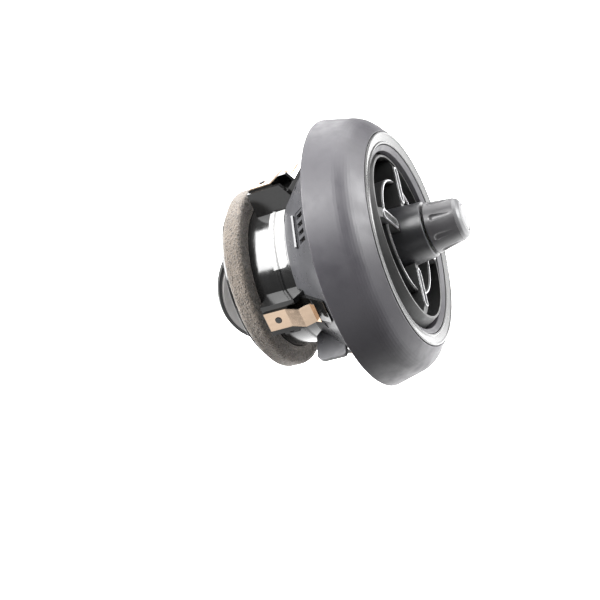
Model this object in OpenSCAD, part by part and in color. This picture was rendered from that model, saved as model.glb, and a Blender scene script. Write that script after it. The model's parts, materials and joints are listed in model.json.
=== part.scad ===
// Round dashboard air vent.
// A ball nozzle swivels in two directions inside a round bezel, and the knob on
// its centre post turns a jointed shaft that folds two shut-off wings in the
// duct barrel behind it.
// +Y runs rearward along the vent's axis, +Z is up, and the origin is the
// swivel centre, which lies in the plane of the bezel's rear rim.
// Angles round the axis are measured from +Z towards -X.

/* [Bezel] */
// Radius of the bezel's rear rim
bezel_r = 48; // [46:0.5:58]
// Depth of the bezel from its rear rim to its front edge
bezel_depth = 18.6; // [18:0.1:22.4]
// Thickness of the bezel's skin
bezel_wall = 2.2; // [1.6:0.1:2.6]
// Slope of the bezel's side towards the front, in degrees
side_slope = 14; // [8:1:18]
// Slope of the bezel's front bevel against the axis, in degrees
bevel_slope = 50; // [44:1:58]
// Radius of the soft shoulder between side and bevel
shoulder_r = 10; // [4:0.5:12]
// Outer radius of the trim ring in the bezel's face
face_ring_r = 37.9; // [37.4:0.1:39]
// Inner radius of the trim ring
face_ring_inner_r = 33.8; // [33:0.1:35]
// Visible joint between neighbouring trim rings
trim_gap = 0.15; // [0.1:0.05:0.3]

/* [Collar and barrel] */
// Outer radius of the collar's cylinder inside the bezel
collar_r = 40.6; // [40:0.1:42]
// Wall of the collar
collar_wall = 1.4; // [1.2:0.1:1.6]
// Where the collar's cylinder ends and its cone starts
cone_start = 2.2; // [1:0.1:3]
// Where the collar ends on the barrel
collar_end = 16.2; // [15:0.1:19]
// Outer radius of the duct barrel
barrel_r = 26.3; // [22:0.1:31.6]
// Wall of the barrel
barrel_wall = 1.6; // [1.2:0.1:2]
// Rear end of the barrel
barrel_end = 39.5; // [39:0.5:48]
// Radius of the flange at the barrel's rear end
flange_r = 30; // [29:0.5:32]
// Thickness of that flange
flange_t = 1.5; // [1:0.1:2]
// Outer radius of the foam seal
foam_r = 33.2; // [32.5:0.1:36]
// Length of the foam seal along the barrel
foam_len = 7.2; // [6:0.1:9]

/* [Spring clips] */
// Number of saddles and spring clips round the barrel
clip_count = 4; // [2:1:4]
// Width of a spring clip
clip_w = 6.8; // [5:0.1:8]
// Sheet thickness of a spring clip
clip_t = 0.5; // [0.4:0.05:0.7]
// Radius at which a clip's flat end lies
clip_seat_r = 35.2; // [34.8:0.1:36]
// Radius of the hole in a clip's flat end
clip_hole_r = 1.2; // [0.8:0.1:1.5]
// Half the width of a saddle
saddle_half_w = 5.6; // [5:0.1:7]
// Height of a saddle's rails, as a radius
saddle_r = 34.7; // [34:0.1:34.9]

/* [Nozzle] */
// Radius of the nozzle's ball
ball_r = 34.4; // [33.5:0.1:35]
// Clearance between the ball and its seat
ball_clear = 0.45; // [0.3:0.05:0.6]
// Distance of the nozzle's lip in front of the swivel centre
lip_depth = 17.45; // [16.5:0.05:17.6]
// Distance of the ball's rear edge in front of the swivel centre
ball_back = 4.6; // [4.4:0.1:5.4]
// Thickness of the lip
lip_t = 0.8; // [0.6:0.1:1.2]
// Wall of the hub that carries the vanes
hub_wall = 1.3; // [1.1:0.1:1.6]
// Clearance between the cardan ring and the hub's bore
hub_clear = 0.7; // [0.6:0.1:0.9]
// Radius of the ring vane
ring_vane_r = 20.5; // [19:0.1:22]
// Thickness of the ring vane
ring_vane_t = 1; // [0.8:0.1:1.4]
// Thickness of a spoke vane
spoke_t = 3.4; // [2.4:0.1:4.1]
// Number of spoke vanes
spoke_count = 4; // [3:1:6]
// Swing of the nozzle to the side at rest, in degrees
rest_pan = 3.8; // [-10:0.1:10]
// Lift of the nozzle's front at rest, in degrees, negative is up
rest_tilt = -1.6; // [-10:0.1:10]

/* [Post and knob] */
// Radius of the post where it leaves the hub
post_base_r = 11.2; // [11.1:0.1:12]
// Radius of the post at the knob
post_tip_r = 9.8; // [9.4:0.1:10.6]
// Distance from the swivel centre to the start of the post
post_start = 12; // [11:0.1:13]
// Distance from the swivel centre to the post's tip
post_tip = 25.4; // [21:0.1:30.5]
// Gap between the post and the knob
knob_gap = 0.6; // [0.4:0.1:1]
// Radius of the knob at the post
knob_base_r = 9.2; // [8.6:0.1:9.6]
// Radius of the grip at its front end
knob_front_r = 7.5; // [7:0.1:8.4]
// Length of the knob's grip
grip_len = 10.2; // [8:0.1:12.3]
// Height of the cap in front of the grip
cap_h = 2.1; // [1.7:0.1:3]
// Number of flutes round the grip
flute_count = 8; // [6:1:12]

/* [Drive] */
// Radius of the knob's shaft
shaft_r = 1.5; // [1.2:0.1:1.6]
// Radius of the ball at the shaft's inner end
joint_ball_r = 2.6; // [2.2:0.1:3.1]
// Radius of the drive pin through that ball
drive_pin_r = 0.8; // [0.6:0.05:0.9]
// How far the drive pin's ends lie below the cup's surface
pin_inset = 0.3; // [0.1:0.1:0.6]
// Clearance between the shaft's ball and the cup round it
joint_clear = 0.4; // [0.3:0.05:0.5]
// Wall of the rear shaft's cup
cup_wall = 1.3; // [1:0.1:1.6]
// Radius of the rear shaft
rear_shaft_r = 2; // [1.6:0.1:2.4]
// Running clearance of shafts and pins, on the radius
run_clear = 0.05; // [0.03:0.01:0.08]
// Clearance between the spider's centre tube and the cardan ring
cardan_clear = 1.2; // [1:0.1:1.5]
// Wall of the cardan ring
cardan_wall = 1.8; // [1.4:0.1:2.2]
// Half the width of the cardan ring
cardan_half_w = 2.3; // [2:0.1:2.4]
// Radius of the cardan pins
cardan_pin_r = 0.9; // [0.7:0.05:1]
// Clearance between the cup and the spider's centre tube
tube_clear = 0.3; // [0.2:0.05:0.5]
// Wall of the spider's centre tube
tube_wall = 1.4; // [1.1:0.1:1.7]

/* [Shut-off wings] */
// Distance of the wings' axle behind the swivel centre
axle_y = 33.2; // [33:0.1:40]
// Turn of the axle round the vent's axis, from +X towards -Z, in degrees
axle_turn = 77; // [0:1:180]
// Gap between the wings' rims and the barrel
wing_gap = 0.35; // [0.3:0.05:0.6]
// Width of the rubber rim on a wing
rim_w = 1.2; // [0.8:0.1:2]
// Thickness of a wing
wing_t = 1.6; // [1.2:0.1:2]
// Radius of the axle
axle_r = 1.5; // [1.2:0.1:1.6]
// Radius of a wing's knuckles
knuckle_r = 2.5; // [2.3:0.1:2.8]
// How far the wings are folded open at rest, in degrees
wing_open = 51.5; // [0:0.5:80]
// Teeth on each bevel gear
gear_teeth = 12; // [12:2:14]
// Pitch radius of the bevel gears at their large end
gear_pitch_r = 6; // [5:0.1:7.2]
// Face width of the bevel gears along their axis
gear_face = 2.4; // [2:0.1:2.6]

/* [Hidden] */

fine = 128;
arc_step = 6;
medium = 64;
small = 32;
far = 200;

bezel_open_r = face_ring_r + trim_gap;
sleeve_r = collar_r + 0.1;
web_wall = 0.78;
// The plane behind the trim ring, where bezel, throat ring and collar meet
web_y = -bezel_depth + (sleeve_r - bezel_open_r) / tan(bevel_slope) + web_wall;
collar_inner_r = collar_r - 1.8;
collar_end_r = barrel_r + 1.3;
cone_slope = atan((collar_r - collar_end_r) / (collar_end - cone_start));
cone_wall = collar_wall / cos(cone_slope);
barrel_inner_r = barrel_r - barrel_wall;
barrel_start = 11.8;
throat_r = 31.6;
throat_front = -(bezel_depth - 0.7);
throat_flange_t = 1.6;
seat_r = ball_r + ball_clear;
seat_wall = 1.7;
foam_end = barrel_end - flange_t;

cup_bore_r = joint_ball_r + joint_clear;
cup_r = cup_bore_r + cup_wall;
drive_pin_half = cup_r - pin_inset;
tube_inner_r = cup_r + tube_clear;
tube_r = tube_inner_r + tube_wall;
cardan_inner_r = tube_r + cardan_clear;
cardan_r = cardan_inner_r + cardan_wall;
hub_bore_r = cardan_r + hub_clear;
hub_r = hub_bore_r + hub_wall;
hub_rear = 3.4;
web_front = 12;
web_rear = 8;
bush_wall = 1.1;
bush_r = shaft_r + bush_wall;
sleeve_wall = 1.4;
trim_w = 0.42;
trim_t = 0.5;
spoke_front = lip_depth + 0.5;
spoke_back = ball_back + 1.2;
ring_front = lip_depth - 0.9;
spoke_trim_inner = hub_r + 1.4;

knob_start = post_tip + knob_gap;
grip_slope = atan((knob_base_r - knob_front_r) / grip_len);
grip_end = knob_start + grip_len;
cap_front = grip_end + cap_h;

cup_front = 3.2;
cup_rear = 3.6;
bush_start = 14;
bush_end = 20;
arm_start = 13;
arm_end = 19;
pinion_y = axle_y - gear_pitch_r;
wing_r = barrel_inner_r - wing_gap;
hinge_gap = 0.3;
wing_front = -2.3;
gear_bore_r = axle_r + run_clear;

// ---- helpers -------------------------------------------------------------

// Unit vector along v
function unit(v) = v / norm(v);

// Angle from vector a to vector b, between -180 and 180 degrees
function turn(a, b) = atan2(a[0] * b[1] - a[1] * b[0], a * b);

// Points that round the corner p, between neighbours a and b, with radius r
function corner(p, a, b, r) =
    r == 0 ? [p] :
    let (u = unit(a - p), w = unit(b - p),
         half = acos(u * w) / 2,
         c = p + unit(u + w) * r / sin(half),
         s = p + u * r / tan(half) - c,
         e = p + w * r / tan(half) - c,
         steps = max(2, ceil(abs(turn(s, e)) / arc_step)))
    [for (i = [0 : steps])
        let (q = turn(s, e) * i / steps)
        c + [s[0] * cos(q) - s[1] * sin(q), s[0] * sin(q) + s[1] * cos(q)]];

// Outline with its corners rounded; each point is [x, y] or [x, y, radius]
function rounded(pts) =
    let (n = len(pts))
    [for (i = [0 : n - 1])
        let (p = pts[i], a = pts[(i + n - 1) % n], b = pts[(i + 1) % n])
        each corner([p[0], p[1]], [a[0], a[1]], [b[0], b[1]], len(p) > 2 ? p[2] : 0)];

// Solid of revolution about the vent's axis, from an outline of [radius, y] points
module spin(pts, sides = fine) {
    rotate([-90, 0, 0]) rotate_extrude($fn = sides) polygon(pts);
}

// Cylinder along the vent's axis from y0 to y1
module rod(r, y0, y1, sides = medium) {
    translate([0, y0, 0]) rotate([-90, 0, 0]) cylinder(r = r, h = y1 - y0, $fn = sides);
}

// Tube along the vent's axis
module tube(r_out, r_in, y0, y1, sides = medium) {
    difference() {
        rod(r_out, y0, y1, sides);
        rod(r_in, y0 - 1, y1 + 1, sides);
    }
}

// Cylinder along +Z from radius r0 to radius r1
module peg(r, r0, r1, sides = small) {
    translate([0, 0, r0]) cylinder(r = r, h = r1 - r0, $fn = sides);
}

// Puts what is drawn at +Z at an angle round the vent's axis
module around(angle) {
    rotate([0, -angle, 0]) children();
}

// Outline of [y, height] points drawn as a plate of thickness t across X
module side_plate(pts, t) {
    translate([-t / 2, 0, 0]) rotate([90, 0, 90]) linear_extrude(t) polygon(pts);
}

// The nozzle's own frame, swung and lifted to its rest position
module nozzle_frame() {
    rotate([0, 0, rest_pan]) rotate([rest_tilt, 0, 0]) children();
}

// The wings' frame: X along the axle, Y rearward
module wing_frame() {
    translate([0, axle_y, 0]) rotate([0, axle_turn, 0]) children();
}

// Places the second wing, which is the first one turned end for end
module other_wing() {
    rotate([0, 180, 0]) children();
}

// ---- bezel and housing ---------------------------------------------------

// Where the bezel's side line and its bevel line cross
bevel_run = ((bezel_r - face_ring_r - trim_gap) - bezel_depth * tan(side_slope))
    / (sin(bevel_slope) - cos(bevel_slope) * tan(side_slope));
shoulder = [face_ring_r + trim_gap + bevel_run * sin(bevel_slope),
            -bezel_depth + bevel_run * cos(bevel_slope)];
sleeve_t = 1.6;
sleeve_end = -3;
rib_count = 24;

module bezel_ring() color("#7c7d80") {
    spin(rounded([
        [bezel_r, 0, 0.35],
        [shoulder[0], shoulder[1], shoulder_r],
        [bezel_open_r, -bezel_depth, 0.3],
        [bezel_open_r, web_y],
        [sleeve_r, web_y],
        [sleeve_r, sleeve_end],
        [sleeve_r + sleeve_t, sleeve_end],
        [sleeve_r + sleeve_t, shoulder[1] + 0.4],
        [bezel_r - bezel_wall, 0]]));
    for (i = [0 : rib_count - 1])
        around(i * 360 / rib_count + 7.5)
            side_plate([
                [sleeve_end - 0.2, sleeve_r + sleeve_t - 0.4],
                [-2, bezel_r - bezel_wall - 0.1],
                [shoulder[1] + 2, shoulder[0] - bezel_wall + 0.9],
                [shoulder[1] + 2, sleeve_r + sleeve_t - 0.4]], 1);
}

// The trim ring's face falls slightly towards its inner edge, between two beads
module face_ring() color("#a5a6a9") {
    inner = face_ring_inner_r;
    fall = 0.6;
    bead = 0.5;
    spin(rounded([
        [face_ring_r, web_y],
        [face_ring_r, -bezel_depth + 0.1, 0.2],
        [face_ring_r - bead, -bezel_depth - 0.1, 0.2],
        [face_ring_r - 2 * bead, -bezel_depth + 0.2],
        [inner + 2 * bead, -bezel_depth + fall + 0.1],
        [inner + bead, -bezel_depth + fall - 0.2, 0.2],
        [inner, -bezel_depth + fall, 0.2],
        [inner, web_y]]));
}

// Throat ring: the opening's edge in front, the ball's seat behind
module throat_ring() color("#6f7073") {
    seat_front = -sqrt(seat_r * seat_r - throat_r * throat_r);
    seat_end = -1;
    front_r = face_ring_inner_r - trim_gap;
    seat_steps = 12;
    seat_from = asin(-seat_front / seat_r);
    seat_to = asin(-seat_end / seat_r);
    difference() {
        spin(concat(
            rounded([
                [throat_r, throat_front + 1.2, 0.4],
                [front_r, throat_front, 0.25],
                [front_r, web_y],
                [collar_inner_r - 0.1, web_y],
                [collar_inner_r - 0.1, web_y + throat_flange_t],
                [seat_r + seat_wall, web_y + throat_flange_t],
                [seat_r + seat_wall, seat_end]]),
            [for (i = [0 : seat_steps])
                let (a = seat_to + (seat_from - seat_to) * i / seat_steps)
                seat_r * [cos(a), -sin(a)]]));
        swivel_groove(0);
    }
}

// Ring-shaped groove in the ball's seat, shrunk by clear on every side
module swivel_groove(clear) {
    groove_y = -6;
    groove_w = 2.4;
    groove_out = seat_r + 0.8;
    spin([
        [seat_r - 3, groove_y - groove_w / 2 + clear],
        [groove_out - clear, groove_y - groove_w / 2 + clear],
        [groove_out - clear, groove_y + groove_w / 2 - clear],
        [seat_r - 3, groove_y + groove_w / 2 - clear]]);
}

// Soft ring that damps the ball
module swivel_seal() color("#2a2a2c") {
    difference() {
        swivel_groove(0.03);
        sphere(r = ball_r + 0.3, $fn = fine);
    }
}

// Snap windows: four slots in a shallow pocket on the collar's cone
module snap_window() {
    pocket_w = 12;
    slot_w = 1.6;
    slot_pitch = 2.9;
    mid = cone_start + 4.6;
    translate([0, mid, cone_r(mid)]) rotate([-cone_slope, 0, 0]) {
        translate([-pocket_w / 2, -3, -0.6]) cube([pocket_w, 6, 4]);
        for (k = [-1.5 : 1 : 1.5])
            translate([k * slot_pitch - slot_w / 2, -2.6, -4]) cube([slot_w, 5.2, 6]);
    }
}

key_angles = [120, 300];
window_angles = [45, 225];
key_r = 39.5;
key_t = 1.8;
key_front = 7;
tooth_count = 6;
rib_front = 9.4;
rib_t = 0.7;

// Radius of the collar's cone at y
function cone_r(y) = collar_r - (y - cone_start) * tan(cone_slope);

module collar() color("#9d9ea2") {
    union() {
        difference() {
            spin([
                [collar_r, web_y],
                [collar_r, cone_start],
                [collar_end_r, collar_end],
                [barrel_r + run_clear, collar_end],
                [barrel_r + run_clear, barrel_start],
                [cone_r(barrel_start) - cone_wall, barrel_start],
                [collar_inner_r, cone_start + (collar_inner_r - collar_r + cone_wall) / tan(cone_slope)],
                [collar_inner_r, web_y]]);
            for (a = window_angles)
                around(a) snap_window();
            for (i = [0 : clip_count - 1])
                around(i * 360 / clip_count + 13)
                    translate([-1.2, 9.2, 30]) cube([2.4, 1, 12]);
        }
        for (a = window_angles)
            around(a)
                translate([-5.6, rib_front, cone_r(rib_front) - 1.2]) cube([11.2, rib_t, 1.9]);
        for (a = key_angles)
            around(a) {
                side_plate(rounded([
                    [key_front, cone_r(key_front) - cone_wall / 2],
                    [key_front, key_r, 1],
                    [collar_end + 1.4, key_r, 2.5],
                    [collar_end + 1.4, collar_end_r + 2],
                    [collar_end - 0.8, cone_r(collar_end - 0.8) - cone_wall / 2]]), key_t);
                for (k = [1 : tooth_count])
                    around(2 + k * 2.4)
                        translate([-0.45, cone_start - 1.4, collar_r - 0.5]) cube([0.9, 1.2, 1.4]);
            }
    }
}

// Saddle that carries a spring clip, drawn at +Z
module saddle_body() {
    w = 2 * saddle_half_w;
    slot_w = clip_w + 0.8;
    slot_floor = clip_seat_r - 3.6;
    rear = 28.2;
    apex = 15.9;
    foot = 13.2;
    web_rear_y = 14.2;
    web_front_y = cone_start + 2.4;
    difference() {
        union() {
            side_plate([
                [rear, barrel_r - 1.5],
                [rear, saddle_r],
                [apex, saddle_r],
                [foot, cone_r(foot) - 0.8],
                [foot, barrel_r - 1.5]], w);
            side_plate([[rear, saddle_r - 1], [rear, clip_seat_r], [19, clip_seat_r], [19, saddle_r - 1]],
                clip_w);
            side_plate([
                [web_rear_y, cone_r(web_rear_y) + 1.9],
                [web_rear_y, barrel_r - 0.3],
                [web_front_y, cone_r(web_front_y) - 5.4],
                [web_front_y, cone_r(web_front_y) + 1]], slot_w + 0.6);
        }
        side_plate([
            [18.9, clip_seat_r + far / 4],
            [18.9, slot_floor],
            [10, slot_floor],
            [10, clip_seat_r + 0.9],
            [7.9, clip_seat_r + 2.4],
            [7.9, clip_seat_r + far / 4]], slot_w);
        spin([
            [0, cone_start - far / 4],
            [collar_r + far / 4 * tan(cone_slope) + 0.05, cone_start - far / 4],
            [collar_end_r + 0.05, collar_end + 0.05],
            [0, collar_end + 0.05]]);
        rod(barrel_r - barrel_wall / 2, 0, far / 4);
    }
}

clip_hole_y = 23.4;
bead_y = 21.3;
pad_angles = [106, 286];

// Outline of the stiffening bead round the barrel, raised by an offset
function bead(offset) = [
    [barrel_r + offset, bead_y - 0.8],
    [barrel_r + 0.4 + offset, bead_y - 0.3],
    [barrel_r + 0.4 + offset, bead_y + 0.3],
    [barrel_r + offset, bead_y + 0.8]];

// Moulded pad with two round date marks, beside a saddle
module date_pad() {
    pad = [7.6, 5.6];
    raise = 0.9;
    difference() {
        translate([-pad[0] / 2, bead_y + 1.6, barrel_r - 1]) cube([pad[0], pad[1], 1 + raise]);
        for (k = [-1, 1])
            translate([k * 1.8, bead_y + 1.6 + pad[1] / 2, 0])
                difference() {
                    peg(1.5, barrel_r + 0.5, barrel_r + 2);
                    peg(0.5, barrel_r, barrel_r + 3);
                }
    }
}

module barrel() color("#141416") {
    difference() {
        union() {
            spin(rounded(concat(
                [[barrel_inner_r, barrel_start], [barrel_r, barrel_start]],
                bead(0),
                [[barrel_r, foam_end],
                 [flange_r, foam_end],
                 [flange_r, barrel_end, 0.4],
                 [barrel_inner_r, barrel_end]])));
            for (a = pad_angles)
                around(a) date_pad();
            for (i = [0 : clip_count - 1])
                around(i * 360 / clip_count) saddle_with_peg();
        }
        wing_frame()
            rotate([0, 90, 0])
                cylinder(r = axle_r, h = 2 * (barrel_inner_r + 0.8), center = true, $fn = small);
    }
}

// The saddle, with its clip's peg at the clip's hole
module saddle_with_peg() {
    saddle_body();
    translate([0, clip_hole_y, 0])
        peg(clip_hole_r - 0.15, clip_seat_r - 1, clip_seat_r + clip_t + 0.3);
}

module spring_clips() color("#cbb083") {
    bump_r = clip_seat_r + 3.1;
    centre = [
        [27.7, clip_seat_r],
        [19.6, clip_seat_r],
        [13.7, bump_r],
        [10.2, clip_seat_r + 1.3],
        [8.2, clip_seat_r + 2.7]];
    for (i = [0 : clip_count - 1])
        around(i * 360 / clip_count)
            difference() {
                side_plate(concat(centre,
                    [for (k = [len(centre) - 1 : -1 : 0]) centre[k] + [0, clip_t]]), clip_w);
                translate([0, clip_hole_y, 0]) peg(clip_hole_r, clip_seat_r - 2, clip_seat_r + 3);
            }
}

module foam_seal() color("#a39a8c") {
    spin(rounded([
        [barrel_r + 0.02, foam_end - foam_len],
        [foam_r, foam_end - foam_len, 1.6],
        [foam_r, foam_end, 1.6],
        [barrel_r + 0.02, foam_end]]));
}

// Everything inside the label's outline, whose lower end has a round front corner
module label_outline(front, end_angle) {
    round_r = 2;
    around(end_angle) linear_extrude(2 * barrel_r) {
        translate([-1, front + round_r]) square(2 * barrel_r);
        translate([round_r, front - 1]) square(2 * barrel_r);
        translate([round_r, front + round_r]) circle(r = round_r, $fn = small);
    }
}

// Blank type label, a thin curved sheet on the barrel
module type_label() color("#f2f2f0") {
    label_t = 0.15;
    glue = 0.02;
    label_front = collar_end + 1;
    label_rear = bead_y + 1.6;
    label_from = asin((saddle_half_w + 0.3) / barrel_r);
    label_to = 62;
    intersection() {
        spin(concat(
            [[barrel_r + glue, label_front]],
            bead(glue),
            [[barrel_r + glue, label_rear], [barrel_r + glue + label_t, label_rear]],
            [for (k = [3 : -1 : 0]) bead(glue + label_t)[k]],
            [[barrel_r + glue + label_t, label_front]]));
        rotate([-90, 0, 0]) linear_extrude(far, center = true)
            polygon(concat([[0, 0]],
                [for (k = [0 : 7])
                    let (a = label_from + (label_to - label_from) * k / 7)
                    far * [-sin(a), -cos(a)]]));
        label_outline(label_front, label_to);
    }
}

// ---- inside the barrel -----------------------------------------------------

module spider() color("#3a3a3d") {
    rim_t = 1.4;
    arm_t = 1.8;
    difference() {
        union() {
            tube(tube_r, tube_inner_r, -cup_front - 0.2, bush_end);
            tube(barrel_inner_r - 0.02, barrel_inner_r - rim_t, arm_start, arm_end, fine);
            for (i = [0 : spoke_count - 1])
                around(45 + i * 360 / spoke_count)
                    translate([-arm_t / 2, arm_start, tube_r - 0.5])
                        cube([arm_t, arm_end - arm_start, barrel_inner_r - rim_t - tube_r + 0.8]);
        }
        for (s = [0, 180])
            around(s) peg(cardan_pin_r + run_clear, 0, tube_r + 1);
    }
}

module shaft_bush() color("#d9d4c4") {
    tube(tube_inner_r, rear_shaft_r + run_clear, bush_start, bush_end);
}

module wing_axle() color("#b9bcc0") {
    wing_frame() rotate([0, 90, 0])
        cylinder(r = axle_r, h = 2 * (barrel_inner_r + 0.7), center = true, $fn = small);
}

// ---- swivel ----------------------------------------------------------------

module cardan_ring() color("#4a4a4e") {
    rotate([0, 0, rest_pan]) difference() {
        tube(cardan_r, cardan_inner_r, -cardan_half_w, cardan_half_w);
        for (s = [0, 180])
            around(s) peg(cardan_pin_r, cardan_inner_r - 1, cardan_r + 1);
        for (s = [90, 270])
            around(s) peg(cardan_pin_r + run_clear, cardan_inner_r - 1, cardan_r + 1);
    }
}

module pan_pins() color("#b9bcc0") {
    rotate([0, 0, rest_pan])
        for (s = [0, 180])
            around(s) peg(cardan_pin_r, tube_inner_r + 0.1, cardan_r - 0.2);
}

module tilt_pins() color("#b9bcc0") {
    nozzle_frame()
        for (s = [90, 270])
            around(s) peg(cardan_pin_r, cardan_inner_r + 0.2, hub_r - 0.1);
}

// ---- nozzle ----------------------------------------------------------------

// Inner radius of the nozzle's shell at a distance in front of the swivel centre
shell_lip_r = sqrt(ball_r * ball_r - lip_depth * lip_depth) - lip_t;
shell_back_r = sqrt(ball_r * ball_r - ball_back * ball_back) - 2;
// Where the trim on a spoke ends, short of the lip
spoke_trim_outer = shell_lip_r - 2.4;

module nozzle_shell() color("#17171a") {
    steps = 14;
    a0 = asin(ball_back / ball_r);
    a1 = asin(lip_depth / ball_r);
    nozzle_frame()
        spin(concat(
            [for (i = [0 : steps])
                let (a = a0 + (a1 - a0) * i / steps)
                [ball_r * cos(a), -ball_r * sin(a)]],
            [[shell_lip_r, -lip_depth], [shell_back_r, -ball_back]]));
}

// Room inside the shell, less a thin joint, where the vanes reach
module vane_room() {
    joint = 0.03;
    spin([
        [0, -spoke_front],
        [spoke_trim_outer + 0.2, -spoke_front],
        [shell_lip_r - joint, -lip_depth + 0.6],
        [shell_back_r - joint, -ball_back],
        [0, -ball_back]]);
}

// Outer radius of the post at a distance in front of the swivel centre
function post_r(h) = post_base_r + (post_tip_r - post_base_r) * (h - post_start) / (post_tip - post_start);

module vane_cross() color("#101012") {
    nozzle_frame() difference() {
        union() {
            rod(hub_r, -web_front, hub_rear, fine);
            intersection() {
                vane_room();
                for (i = [0 : spoke_count - 1])
                    around(45 + i * 360 / spoke_count)
                        translate([-spoke_t / 2, -spoke_front, hub_r - 1])
                            cube([spoke_t, spoke_front - spoke_back, ball_r]);
            }
        }
        rod(hub_bore_r, -web_rear, hub_rear + 1, fine);
        rod(bush_r, -far / 2, far / 2);
        spin([
            [0, -far / 4],
            [post_r(far / 4) + 0.1, -far / 4],
            [post_base_r + 0.1, -post_start],
            [0, -post_start]]);
        for (s = [90, 270])
            around(s) peg(cardan_pin_r, hub_bore_r - 2, hub_r + 2);
        ring_vane_slot(0.02);
    }
}

// Space that the ring vane takes, grown by clear on every side
module ring_vane_slot(clear) {
    half = ring_vane_t / 2 + clear;
    spin([
        [ring_vane_r - half, -ring_front - clear],
        [ring_vane_r + half, -ring_front - clear],
        [ring_vane_r + half, -spoke_back - 1 + clear],
        [ring_vane_r - half, -spoke_back - 1 + clear]]);
}

// The ring vane is pushed into the spokes from the front
module ring_vane() color("#101012") {
    nozzle_frame() difference() {
        ring_vane_slot(0);
        for (i = [0 : spoke_count - 1])
            around(45 + i * 360 / spoke_count)
                translate([-spoke_t / 2 - 0.01, -far / 2, 0])
                    cube([spoke_t + 0.02, far / 2 - ring_front + 2, far / 4]);
    }
}

// Closed loop of wire-like trim on the front edge of each spoke
module spoke_trims() color("#c9cacc") {
    outer_end = spoke_trim_outer - spoke_t / 2;
    inner_end = spoke_trim_inner + spoke_t / 2;
    nozzle_frame()
        for (i = [0 : spoke_count - 1])
            around(45 + i * 360 / spoke_count)
                translate([0, -spoke_front, 0]) rotate([90, 0, 0])
                    linear_extrude(trim_t) difference() {
                        stadium(inner_end, outer_end, spoke_t / 2);
                        stadium(inner_end, outer_end, spoke_t / 2 - trim_w);
                    }
}

// Flat shape with round ends from y0 to y1
module stadium(y0, y1, r) {
    translate([-r, y0]) square([2 * r, y1 - y0]);
    translate([0, y0]) circle(r = r, $fn = small);
    translate([0, y1]) circle(r = r, $fn = small);
}

// Arcs of trim on the front edge of the ring vane, between the spokes
module ring_trims() color("#c9cacc") {
    nozzle_frame() difference() {
        tube(ring_vane_r + trim_w / 2, ring_vane_r - trim_w / 2, -ring_front - trim_t, -ring_front, fine);
        for (i = [0 : spoke_count - 1])
            around(45 + i * 360 / spoke_count)
                translate([-spoke_t / 2 - 0.3, -far / 2, 0]) cube([spoke_t + 0.6, far, far / 4]);
    }
}

module post_sleeve() color("#4b4c50") {
    nozzle_frame()
        spin(rounded([
            [post_base_r, -post_start],
            [post_tip_r, -post_tip, 0.4],
            [bush_r, -post_tip],
            [bush_r, -post_tip + 2],
            [post_tip_r - sleeve_wall, -post_tip + 2],
            [post_base_r - sleeve_wall, -post_start]]));
}

// Flanged bush that guides the knob's shaft in the post
module post_bush() color("#d9d4c4") {
    nozzle_frame() tube(bush_r, shaft_r + run_clear, -post_tip, -web_rear - 0.4);
}

// ---- knob ------------------------------------------------------------------

// Cutter for one flute: a round end at z = 0 and a taper to its tip
module flute(r, r_tip, length) {
    rotate_extrude($fn = small)
        polygon(concat(
            [for (a = [0 : 15 : 90]) r * [sin(a), -cos(a)]],
            [[r_tip, length], [0, length]]));
}

module knob_grip() color("#55565a") {
    flute_r = 2;
    flute_rise = 0.9;
    nozzle_frame() difference() {
        spin(rounded([
            [shaft_r, -knob_start],
            [knob_base_r, -knob_start, 0.5],
            [knob_front_r, -grip_end],
            [knob_front_r - 2.2, -grip_end],
            [knob_front_r - 2.2, -grip_end + 3],
            [shaft_r, -grip_end + 3]]));
        for (i = [0 : flute_count - 1])
            around(i * 360 / flute_count)
                translate([0, -knob_start - 1.3 - flute_r, knob_base_r + flute_rise])
                    rotate([90 + grip_slope, 0, 0])
                        flute(flute_r, 1.45, grip_len - 4);
    }
}

module knob_cap() color("#9b9ca0") {
    stem_r = knob_front_r - 2.25;
    cap_disc_r = 4.6;
    nozzle_frame()
        spin(rounded([
            [0, -grip_end + 1.2],
            [stem_r, -grip_end + 1.2],
            [stem_r, -grip_end],
            [knob_front_r - 0.12, -grip_end],
            [knob_front_r - 0.5, -grip_end - cap_h * 0.5, 1.2],
            [cap_disc_r + 1.1, -cap_front, 1.6],
            [cap_disc_r + 0.25, -cap_front],
            [cap_disc_r, -cap_front + 0.25],
            [cap_disc_r - 0.25, -cap_front],
            [0, -cap_front - 0.3]]));
}

// Pan-head screw that holds the grip on its shaft
module knob_screw() color("#8d9094") {
    head = grip_end - 3;
    nozzle_frame() difference() {
        union() {
            rod(2.4, -head - 1.4, -head);
            rod(0.7, -head, -head + 4);
        }
        for (q = [0, 90])
            rotate([0, q, 0])
                translate([-1.5, -head - 2, -0.25]) cube([3, 1.2, 0.5]);
    }
}

// Knob shaft: a rod that ends in a ball at the swivel centre
module front_shaft() color("#a9acb0") {
    head = grip_end - 3;
    nozzle_frame() difference() {
        union() {
            sphere(r = joint_ball_r, $fn = medium);
            rod(shaft_r, -head, 0);
        }
        rod(0.7, -head - 1, -head + 4.2);
        rotate([0, 90, 0]) cylinder(r = drive_pin_r, h = 10, center = true, $fn = small);
    }
}

module drive_pin() color("#8d9094") {
    nozzle_frame() rotate([0, 90, 0])
        cylinder(r = drive_pin_r, h = 2 * drive_pin_half, center = true, $fn = small);
}

// ---- drive -----------------------------------------------------------------

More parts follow.
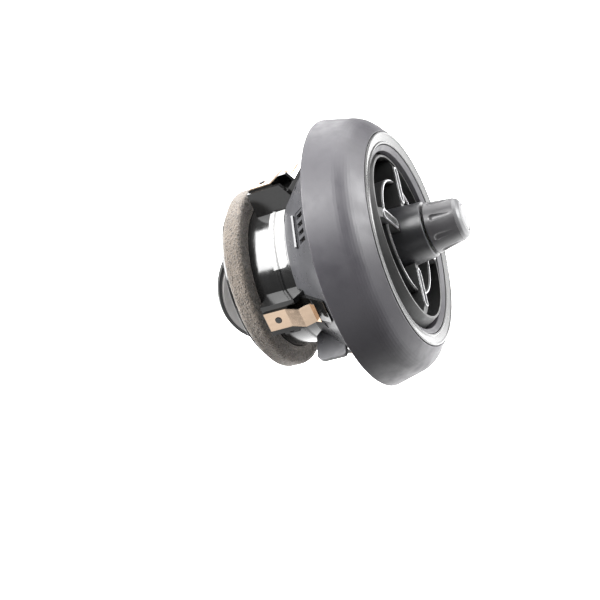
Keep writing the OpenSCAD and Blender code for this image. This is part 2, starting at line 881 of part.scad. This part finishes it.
// Rear shaft: a slotted cup round the knob shaft's ball, and a rod to the pinion
module rear_shaft() color("#d9d4c4") {
    slot = 2 * drive_pin_r + 0.8;
    difference() {
        union() {
            rod(cup_r, -cup_front, cup_rear + 1.4);
            rod(rear_shaft_r, cup_rear, pinion_y + gear_face);
        }
        rod(cup_bore_r, -cup_front - 1, cup_rear);
        translate([-far / 4, -cup_front - 1, -slot / 2]) cube([far / 2, cup_front + cup_rear, slot]);
    }
}

// Cone distance of the gears, and the size of the equal spur gear's tooth
cone_dist = gear_pitch_r * sqrt(2);
module_size = 2 * gear_pitch_r / gear_teeth;
flank_relief = 0.1;

// Involute function in radians, of an angle in degrees
function inv(a) = tan(a) - a * PI / 180;

// Half the angle that a tooth spans at a height above the pitch cone, in degrees
function tooth_half(h) =
    let (base = cone_dist * cos(20),
         r = max(cone_dist + h, base),
         half = PI * module_size / (4 * cone_dist) + inv(20) - inv(acos(base / r)))
    (r * half - flank_relief) / (cone_dist * sin(45 + h / cone_dist * 180 / PI)) * 180 / PI;

// Radius of that height in the gear's large face
function tooth_radius(h) = gear_pitch_r * tan(45 + h / cone_dist * 180 / PI);

tooth_heights = [-1.05, -0.5, 0, 0.45, 0.8] * module_size;

// Bevel gear whose teeth narrow towards the apex, with its large face at z = 0
module bevel_gear(phase) {
    linear_extrude(gear_face, scale = (gear_pitch_r - gear_face) / gear_pitch_r)
        polygon([for (i = [0 : gear_teeth - 1])
            let (mid = phase + i * 360 / gear_teeth)
            each concat(
                [for (h = tooth_heights)
                    let (a = mid - tooth_half(h)) tooth_radius(h) * [cos(a), sin(a)]],
                [for (k = [len(tooth_heights) - 1 : -1 : 0])
                    let (h = tooth_heights[k], a = mid + tooth_half(h)) tooth_radius(h) * [cos(a), sin(a)]])]);
}

module bevel_pinion() color("#e4e0d2") {
    wing_frame() rotate([0, wing_open, 0]) difference() {
        union() {
            translate([0, -gear_pitch_r, 0]) rotate([-90, 0, 0]) bevel_gear(0);
            rod(3.6, -gear_pitch_r - 2.4, -gear_pitch_r);
        }
        rod(rear_shaft_r, -far / 4, 0);
    }
}

// ---- shut-off wings --------------------------------------------------------

// Everything on one wing is drawn shut, below the axle, then folded open
module folded() {
    wing_frame() rotate([wing_open, 0, 0]) children();
}

// The other wing's place, turned end for end
module folded_back() {
    wing_frame() other_wing() rotate([wing_open, 0, 0]) children();
}

gear_hub = 0.6;
knuckle_len = 5.4;
inner_knuckle = gear_pitch_r + gear_hub;
outer_knuckle = inner_knuckle + knuckle_len + hinge_gap;
knuckle_spans = [[inner_knuckle, inner_knuckle + knuckle_len], [-outer_knuckle - knuckle_len, -outer_knuckle]];
gear_room = gear_pitch_r + 1.6;

// Half disc between two radii, as an outline in X and Z
module half_ring(r_out, r_in) {
    difference() {
        circle(r = r_out, $fn = fine);
        circle(r = r_in, $fn = fine);
        translate([-far / 2, -knuckle_r - hinge_gap]) square([far, far]);
    }
}

// Gives an outline in X and Z the thickness from y0 to y1
module slab(y0, y1) {
    translate([0, y1, 0]) rotate([90, 0, 0]) linear_extrude(y1 - y0) children();
}

module wing() {
    plate_r = wing_r - rim_w;
    difference() {
        union() {
            slab(wing_front, wing_front + wing_t) {
                half_ring(plate_r, 0);
            }
            slab(wing_front - 0.5, wing_front) half_ring(plate_r - 0.4, plate_r - 3.4);
            for (s = knuckle_spans) {
                translate([s[0], 0, 0]) rotate([0, 90, 0])
                    cylinder(r = knuckle_r, h = s[1] - s[0], $fn = small);
                slab(wing_front, wing_front + wing_t)
                    translate([s[0], -knuckle_r - hinge_gap - 0.5]) square([s[1] - s[0], knuckle_r + hinge_gap]);
            }
        }
        rotate([0, 90, 0]) cylinder(r = axle_r + run_clear, h = far, center = true, $fn = small);
        for (s = [-1, 1])
            translate([s * (gear_pitch_r - gear_face / 2) - gear_face / 2 - 0.4, -far / 4, -gear_room])
                cube([gear_face + 0.8, far / 2, gear_room]);
    }
}

module wing_rim() {
    slab(wing_front, wing_front + wing_t) half_ring(wing_r, wing_r - rim_w);
}

module wing_gear() {
    difference() {
        union() {
            translate([gear_pitch_r, 0, 0]) rotate([0, -90, 0]) rotate([0, 0, 90 + 180 / gear_teeth])
                bevel_gear(0);
            translate([gear_pitch_r, 0, 0]) rotate([0, 90, 0]) cylinder(r = knuckle_r, h = gear_hub, $fn = small);
        }
        rotate([0, 90, 0]) cylinder(r = gear_bore_r, h = far, center = true, $fn = small);
    }
}

module wing_a() color("#8b8c90") folded() wing();
module wing_rim_a() color("#1c1c1e") folded() wing_rim();
module wing_gear_a() color("#e4e0d2") folded() wing_gear();
module wing_b() color("#8b8c90") folded_back() wing();
module wing_rim_b() color("#1c1c1e") folded_back() wing_rim();
module wing_gear_b() color("#e4e0d2") folded_back() wing_gear();

bezel_ring();
face_ring();
throat_ring();
swivel_seal();
collar();
barrel();
spring_clips();
foam_seal();
type_label();
spider();
shaft_bush();
wing_axle();
cardan_ring();
pan_pins();
nozzle_shell();
vane_cross();
ring_vane();
spoke_trims();
ring_trims();
post_sleeve();
post_bush();
tilt_pins();
knob_grip();
knob_cap();
knob_screw();
front_shaft();
drive_pin();
rear_shaft();
bevel_pinion();
wing_a();
wing_rim_a();
wing_gear_a();
wing_b();
wing_rim_b();
wing_gear_b();
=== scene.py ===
"""Looks of the round dashboard air vent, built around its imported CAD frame."""
import json
import math

import bmesh
import bpy
from mathutils import Matrix, Vector, noise


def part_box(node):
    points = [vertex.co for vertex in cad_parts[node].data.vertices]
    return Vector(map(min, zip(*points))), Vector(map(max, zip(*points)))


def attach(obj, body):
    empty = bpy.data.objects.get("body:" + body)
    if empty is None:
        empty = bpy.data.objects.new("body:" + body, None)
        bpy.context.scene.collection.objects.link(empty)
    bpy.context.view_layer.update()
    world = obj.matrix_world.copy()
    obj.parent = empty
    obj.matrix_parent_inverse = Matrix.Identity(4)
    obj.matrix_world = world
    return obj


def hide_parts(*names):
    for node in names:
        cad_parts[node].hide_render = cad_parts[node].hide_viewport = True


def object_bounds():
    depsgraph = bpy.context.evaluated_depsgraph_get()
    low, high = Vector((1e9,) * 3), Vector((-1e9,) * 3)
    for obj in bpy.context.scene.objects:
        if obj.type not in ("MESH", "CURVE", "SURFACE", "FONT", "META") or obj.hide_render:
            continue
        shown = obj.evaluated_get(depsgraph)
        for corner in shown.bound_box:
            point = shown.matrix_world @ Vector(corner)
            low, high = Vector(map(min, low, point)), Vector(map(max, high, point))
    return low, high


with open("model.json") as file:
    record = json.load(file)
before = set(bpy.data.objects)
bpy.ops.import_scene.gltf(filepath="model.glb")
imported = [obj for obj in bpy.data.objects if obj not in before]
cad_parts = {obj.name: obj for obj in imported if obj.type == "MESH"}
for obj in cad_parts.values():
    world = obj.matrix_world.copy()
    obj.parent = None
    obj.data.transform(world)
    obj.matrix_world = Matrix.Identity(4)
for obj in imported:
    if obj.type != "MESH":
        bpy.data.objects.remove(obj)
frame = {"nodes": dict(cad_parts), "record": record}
cad_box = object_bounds()

MM = 0.001
SLOTS = {part["node"]: part["material_slot"] for part in frame["record"]["subparts"]}


# ---- camera, light and floor ------------------------------------------------

CAMERA_AT = Vector((-0.364071, -0.138798, 0.158249))
VIEW_RIGHT = Vector((0.226714, -0.889601, -0.396499))
VIEW_UP = Vector((0.500042, -0.243033, 0.831199))
VIEW_BACK = Vector((-0.835798, -0.386711, 0.389739))
WORLD_LIGHT = 0.20
FLOOR_HALF = 4.0


def add_camera():
    data = bpy.data.cameras.new("camera")
    data.lens = 72
    data.sensor_width = 36
    data.clip_start = 0.01
    camera = bpy.data.objects.new("camera", data)
    axes = Matrix((VIEW_RIGHT, VIEW_UP, VIEW_BACK)).transposed()
    camera.matrix_world = Matrix.Translation(CAMERA_AT) @ axes.to_4x4()
    bpy.context.collection.objects.link(camera)
    bpy.context.scene.camera = camera


def softbox(name, direction, distance, size, radiance):
    """A square area light that faces the origin, in a direction given in the view's axes."""
    right, up, back = direction
    away = (VIEW_RIGHT * right + VIEW_UP * up + VIEW_BACK * back).normalized()
    data = bpy.data.lights.new(name, "AREA")
    data.shape = "SQUARE"
    data.size = size
    data.energy = math.pi * size * size * radiance
    light = bpy.data.objects.new(name, data)
    turn = away.to_track_quat("Z", "Y").to_matrix().to_4x4()
    light.matrix_world = Matrix.Translation(away * distance) @ turn
    bpy.context.collection.objects.link(light)


def add_lights():
    softbox("key_softbox", (-0.75, 0.48, 0.45), distance=0.8, size=0.78, radiance=18)
    softbox("top_softbox", (0.10, 1.00, -0.10), distance=0.9, size=0.85, radiance=5)
    softbox("back_softbox", (-0.31, 0.65, -0.70), distance=0.9, size=0.5, radiance=5)
    softbox("right_softbox", (0.72, 0.60, 0.38), distance=0.9, size=0.55, radiance=20)
    add_world()


def add_world():
    """White where the camera sees it, and a dim even light on everything else."""
    world = bpy.data.worlds.new("studio")
    world.use_nodes = True
    nodes = world.node_tree.nodes
    links = world.node_tree.links
    background = nodes["Background"]
    background.inputs["Color"].default_value = (1, 1, 1, 1)
    seen = nodes.new("ShaderNodeLightPath").outputs["Is Camera Ray"]
    strength = nodes.new("ShaderNodeMath")
    strength.operation = "MAXIMUM"
    strength.inputs[1].default_value = WORLD_LIGHT
    links.new(seen, strength.inputs[0])
    links.new(strength.outputs["Value"], background.inputs["Strength"])
    bpy.context.scene.world = world
    bpy.context.scene.view_settings.view_transform = "Standard"


def add_floor():
    """Paper that the camera sees white.

    Along X it is grey far out, dark beside the vent as a painted contact shadow and white past its middle as
    painted light, tones that the vent's lower side reflects, with a glowing band below it that paints light
    onto the vent.
    """
    lowest = cad_box[0][2]
    mesh = bpy.data.meshes.new("floor")
    corners = [(-FLOOR_HALF, -FLOOR_HALF), (FLOOR_HALF, -FLOOR_HALF),
               (FLOOR_HALF, FLOOR_HALF), (-FLOOR_HALF, FLOOR_HALF)]
    mesh.from_pydata([(x, y, lowest) for x, y in corners], [], [(0, 1, 2, 3)])
    floor = bpy.data.objects.new("floor", mesh)
    bpy.context.collection.objects.link(floor)
    finish = Finish("floor_paper_painted_light_and_shade", Roughness=0.7, Emission_Color=(1, 1, 1, 1))
    across = finish.along((1, 0, 0))
    # Painted shadow and light: the floor's tones beside and past the vent set what the vent's lower side
    # reflects, dark where the contact shadow would be.
    grey, dark, white = shade(0.20, 1), shade(0.04, 1), shade(0.75, 1)
    shadow = finish.mix(finish.between(across, -0.13, -0.09), grey, dark)
    paper = finish.mix(finish.between(across, -0.03, 0.0), shadow, white)
    finish.links.new(paper, finish.shader.inputs["Base Color"])
    seen = finish.nodes.new("ShaderNodeLightPath").outputs["Is Camera Ray"]
    # Painted light: a band of the floor below the vent glows, although no lamp is there.
    band_strength = 2.4
    band_start = finish.between(across, -0.058, -0.022, 0, band_strength)
    band_end = finish.between(across, 0.02, 0.05, 1, 0)
    band = finish.times(band_start, band_end)
    finish.links.new(finish.either(seen, band), finish.shader.inputs["Emission Strength"])
    mesh.materials.append(finish.material)


# ---- materials ----------------------------------------------------------------

class Finish:
    """A node material on one Principled shader, built up layer by layer."""

    def __init__(self, name, **sockets):
        self.material = bpy.data.materials.new(name)
        self.material.use_nodes = True
        self.nodes = self.material.node_tree.nodes
        self.links = self.material.node_tree.links
        self.shader = self.nodes["Principled BSDF"]
        for socket, value in sockets.items():
            self.shader.inputs[socket.replace("_", " ")].default_value = value
        self.place = self.nodes.new("ShaderNodeTexCoord").outputs["Object"]
        self.normal = None

    def stretched(self, scale):
        """The surface's place, scaled along X, Y and Z."""
        mapping = self.nodes.new("ShaderNodeMapping")
        mapping.inputs["Scale"].default_value = scale
        self.links.new(self.place, mapping.inputs["Vector"])
        return mapping.outputs["Vector"]

    def noise(self, scale, detail=2.0, roughness=0.5, place=None):
        """Noise with features of 1 / scale metres."""
        node = self.nodes.new("ShaderNodeTexNoise")
        node.inputs["Scale"].default_value = scale
        node.inputs["Detail"].default_value = detail
        node.inputs["Roughness"].default_value = roughness
        self.links.new(place or self.place, node.inputs["Vector"])
        return node.outputs["Fac"]

    def cells(self, scale):
        """Distance to the nearest cell centre, for cells of 1 / scale metres."""
        node = self.nodes.new("ShaderNodeTexVoronoi")
        node.inputs["Scale"].default_value = scale
        self.links.new(self.place, node.inputs["Vector"])
        return node.outputs["Distance"]

    def along(self, direction):
        """The surface's place along a direction, in metres."""
        node = self.nodes.new("ShaderNodeVectorMath")
        node.operation = "DOT_PRODUCT"
        node.inputs[1].default_value = direction
        self.links.new(self.place, node.inputs[0])
        return node.outputs["Value"]

    def bands(self, direction, scale):
        """Soft bands that follow one another along X, Y or Z."""
        node = self.nodes.new("ShaderNodeTexWave")
        node.bands_direction = direction
        node.inputs["Scale"].default_value = scale
        self.links.new(self.place, node.inputs["Vector"])
        return node.outputs["Fac"]

    def times(self, first, second):
        """The product of two values."""
        node = self.nodes.new("ShaderNodeMath")
        node.operation = "MULTIPLY"
        self.links.new(first, node.inputs[0])
        self.links.new(second, node.inputs[1])
        return node.outputs["Value"]

    def either(self, first, second):
        """The larger of two values."""
        node = self.nodes.new("ShaderNodeMath")
        node.operation = "MAXIMUM"
        self.links.new(first, node.inputs[0])
        self.links.new(second, node.inputs[1])
        return node.outputs["Value"]

    def between(self, value, low, high, out_low=0.0, out_high=1.0):
        """The value's range low to high, mapped to out_low to out_high."""
        node = self.nodes.new("ShaderNodeMapRange")
        node.inputs["From Min"].default_value = low
        node.inputs["From Max"].default_value = high
        node.inputs["To Min"].default_value = out_low
        node.inputs["To Max"].default_value = out_high
        self.links.new(value, node.inputs["Value"])
        return node.outputs["Result"]

    def mix(self, factor, first, second):
        """One of two colours, or what lies between, by the factor."""
        node = self.nodes.new("ShaderNodeMix")
        node.data_type = "RGBA"
        self.links.new(factor, node.inputs["Factor"])
        for socket, colour in ((node.inputs["A"], first), (node.inputs["B"], second)):
            if isinstance(colour, tuple):
                socket.default_value = (*colour, 1)
            else:
                self.links.new(colour, socket)
        return node.outputs["Result"]

    def tint(self, value, dark, light, low=0.35, high=0.65):
        """Colours the surface from dark to light as the value goes from low to high."""
        colour = self.mix(self.between(value, low, high), dark, light)
        self.links.new(colour, self.shader.inputs["Base Color"])
        return colour

    def gloss(self, value, smooth, rough, low=0.35, high=0.65):
        """Sets the roughness from smooth to rough as the value goes from low to high."""
        self.links.new(self.between(value, low, high, smooth, rough), self.shader.inputs["Roughness"])

    def bump(self, value, height):
        """Raises the surface by up to height, in metres, where the value is 1."""
        node = self.nodes.new("ShaderNodeBump")
        node.inputs["Distance"].default_value = height
        self.links.new(value, node.inputs["Height"])
        if self.normal:
            self.links.new(self.normal, node.inputs["Normal"])
        self.normal = node.outputs["Normal"]
        self.links.new(self.normal, self.shader.inputs["Normal"])


def shade(grey, share):
    """A grey or a colour, made lighter or darker by a share."""
    colour = grey if isinstance(grey, tuple) else (grey, grey, grey)
    return tuple(channel * share for channel in colour)


def plastic(name, colour, roughness, grain=0.00001, spread=0.12, **sockets):
    """Moulded or painted plastic: faint cloudiness, uneven gloss and a fine spark-eroded grain."""
    finish = Finish(name, **sockets)
    finish.tint(finish.noise(90, 4), shade(colour, 1 - spread), shade(colour, 1 + spread))
    finish.gloss(finish.noise(260, 3), roughness * 0.88, roughness * 1.12)
    finish.bump(finish.noise(3200, 2), grain)
    return finish


def metal(name, colour, roughness, along=(1, 1, 1), spread=0.08):
    """Bright metal with fine drawn lines along the axis with the smallest scale."""
    finish = Finish(name, Metallic=1.0)
    lines = finish.noise(900, 3, 0.6, finish.stretched(along))
    finish.tint(lines, shade(colour, 1 - spread), shade(colour, 1 + spread))
    finish.gloss(lines, roughness * 0.75, roughness * 1.25)
    finish.bump(lines, 0.000006)
    return finish


def gloss_black():
    """Polished black plastic, with uneven gloss and a slightly wavy surface."""
    finish = Finish("gloss_black", IOR=1.62)
    finish.tint(finish.noise(90, 4), shade(0.008, 0.88), shade(0.008, 1.12))
    finish.gloss(finish.noise(180, 5, 0.7), 0.10, 0.20)
    finish.bump(finish.noise(3200, 2), 0.000001)
    finish.bump(finish.noise(70, 2), 0.00006)
    return finish


def foam_finish():
    """Matt brown-grey foam: soft clouds, dark specks and open pores."""
    finish = Finish("open_cell_foam", Roughness=0.95, Sheen_Weight=0.25, Sheen_Roughness=0.6)
    brown, pale, speck = (0.070, 0.056, 0.043), (0.128, 0.105, 0.084), (0.026, 0.021, 0.017)
    clouds = finish.tint(finish.noise(140, 5, 0.65), brown, pale, 0.3, 0.7)
    pores = finish.between(finish.cells(1500), 0.25, 0.55)
    specks = finish.between(finish.noise(1700, 2), 0.54, 0.62)
    specked = finish.mix(specks, clouds, speck)
    finish.links.new(specked, finish.shader.inputs["Base Color"])
    finish.bump(pores, -0.0002)
    finish.bump(finish.noise(4200, 3), 0.00012)
    return finish


def label_paper():
    """White paper with faint rows of short marks that spell nothing."""
    finish = Finish("label_paper", Roughness=0.45)
    paper = finish.tint(finish.noise(90, 4), (0.28, 0.28, 0.276), (0.31, 0.31, 0.306))
    rows = finish.between(finish.bands("Y", 200), 0.6, 0.7)
    marks = finish.between(finish.noise(1300, 0), 0.52, 0.58)
    printed = finish.mix(finish.times(rows, marks), paper, (0.20, 0.20, 0.20))
    finish.links.new(printed, finish.shader.inputs["Base Color"])
    finish.bump(finish.noise(3200, 2), 0.000006)
    return finish


FINISHES = {
    "bezel_paint": lambda: plastic("bezel_paint", (0.027, 0.0255, 0.030), 0.46, spread=0.05),
    "trim_ring_paint": lambda: plastic("trim_ring_paint", 0.050, 0.20, grain=0.000001, spread=0.05),
    "black_rubber": lambda: plastic("black_rubber", 0.035, 0.5, grain=0.00002),
    "housing_grey": lambda: plastic("housing_grey", (0.055, 0.055, 0.059), 0.30, grain=0.000004),
    "housing_dark": lambda: plastic("housing_dark", 0.008, 0.35, grain=0.000004),
    "gloss_black": gloss_black,
    "clip_metal": lambda: metal("clip_metal", (0.62, 0.47, 0.35), 0.15, (1, 0.15, 1)),
    "foam": foam_finish,
    "label_white": label_paper,
    "natural_pom": lambda: plastic(
        "natural_pom", (0.40, 0.38, 0.33), 0.35, spread=0.03, Subsurface_Weight=0.2),
    "steel": lambda: metal("steel", (0.50, 0.50, 0.52), 0.25, (1, 0.1, 1)),
    "nozzle_black": lambda: plastic("nozzle_black", 0.010, 0.52, grain=0.000003),
    "silver_trim": lambda: plastic("silver_trim", (0.50, 0.50, 0.51), 0.36, grain=0.000001, Metallic=0.9),
    "post_grey": lambda: plastic("post_grey", (0.014, 0.0142, 0.016), 0.34, grain=0.000004),
    "knob_grey": lambda: plastic("knob_grey", (0.030, 0.029, 0.031), 0.34, grain=0.000004),
    "cap_silver": lambda: plastic("cap_silver", (0.07, 0.07, 0.072), 0.34, grain=0.000002, Metallic=0.1),
    "wing_grey": lambda: plastic("wing_grey", (0.34, 0.33, 0.325), 0.36),
}


def paint_cad_nodes():
    """Gives each CAD node the finish of its material slot."""
    materials = {slot: make().material for slot, make in FINISHES.items()}
    for node, piece in frame["nodes"].items():
        piece.data.materials.clear()
        piece.data.materials.append(materials[SLOTS[node]])
    return materials


# ---- foam seal -----------------------------------------------------------------

FOAM_BORE_R = 26.35 * MM
FOAM_EDGE_R = 1.9 * MM
FOAM_SEAM_R = 0.3 * MM
FOAM_SPACING = 0.26 * MM
FOAM_TURNS = 720
CORNER_STEPS = 6


def foam_outline():
    """The foam seal's cross-section as radius and Y: round outer edges, nearly sharp inner ones."""
    low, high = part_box("foam_seal")
    inner_centre = FOAM_BORE_R + FOAM_SEAM_R
    outer_centre = (high[0] - low[0]) / 2 - FOAM_EDGE_R
    front, rear = low[1], high[1]
    corners = [
        (inner_centre, front + FOAM_SEAM_R, FOAM_SEAM_R, 180),
        (outer_centre, front + FOAM_EDGE_R, FOAM_EDGE_R, 270),
        (outer_centre, rear - FOAM_EDGE_R, FOAM_EDGE_R, 0),
        (inner_centre, rear - FOAM_SEAM_R, FOAM_SEAM_R, 90)]
    outline = []
    for r, y, radius, start in corners:
        for step in range(CORNER_STEPS + 1):
            angle = math.radians(start + 90 * step / CORNER_STEPS)
            outline.append((r + radius * math.cos(angle), y + radius * math.sin(angle)))
    return evenly(outline, FOAM_SPACING)


def foam_skin(vert):
    """How far a point of the foam's skin moves out: waves, grain and pits, none at the barrel."""
    fade = 1.5 * MM
    wave = 0.35 * MM
    grain = 0.10 * MM
    pit_depth = 1.1 * MM
    pit_size = 0.32
    radius = math.hypot(vert.co.x, vert.co.z)
    free = min(1.0, max(0.0, (radius - FOAM_BORE_R) / fade))
    slow = noise.noise(vert.co * 55) * wave
    quick = noise.noise(vert.co * 700) * grain
    pit = max(0.0, pit_size - noise.voronoi(vert.co * 950)[0][0]) * pit_depth
    return (slow - wave + quick - pit) * free


def foam_ring(materials):
    """The foam seal: a thick ring with rounded edges, an uneven skin and open pores."""
    outline = foam_outline()
    mesh = bmesh.new()
    rings = []
    for turn in range(FOAM_TURNS):
        angle = 2 * math.pi * turn / FOAM_TURNS
        ring = [mesh.verts.new((r * math.sin(angle), y, r * math.cos(angle))) for r, y in outline]
        rings.append(ring)
    count = len(outline)
    for turn, ring in enumerate(rings):
        following = rings[(turn + 1) % FOAM_TURNS]
        for k in range(count):
            after = (k + 1) % count
            mesh.faces.new((ring[k], following[k], following[after], ring[after]))
    mesh.normal_update()
    bmesh.ops.recalc_face_normals(mesh, faces=mesh.faces)
    mesh.normal_update()
    for vert in mesh.verts:
        vert.co += vert.normal * foam_skin(vert)
    data = bpy.data.meshes.new("foam_ring")
    mesh.to_mesh(data)
    mesh.free()
    for polygon in data.polygons:
        polygon.use_smooth = True
    data.materials.append(materials["foam"])
    ring = bpy.data.objects.new("foam_ring", data)
    bpy.context.collection.objects.link(ring)
    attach(ring, "housing")
    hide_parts("foam_seal")


def evenly(outline, spacing):
    """Points along a closed outline, evenly spaced."""
    points = [Vector(p) for p in outline]
    spans = [(points[k], points[(k + 1) % len(points)]) for k in range(len(points))]
    total = sum((b - a).length for a, b in spans)
    count = round(total / spacing)
    result = []
    walked = 0.0
    for a, b in spans:
        length = (b - a).length
        while len(result) < count and walked + length >= len(result) * total / count and length > 0:
            share = (len(result) * total / count - walked) / length
            result.append(a.lerp(b, share))
        walked += length
    return result


# ---- scene ----------------------------------------------------------------------

add_camera()
add_lights()
add_floor()
finishes = paint_cad_nodes()
foam_ring(finishes)
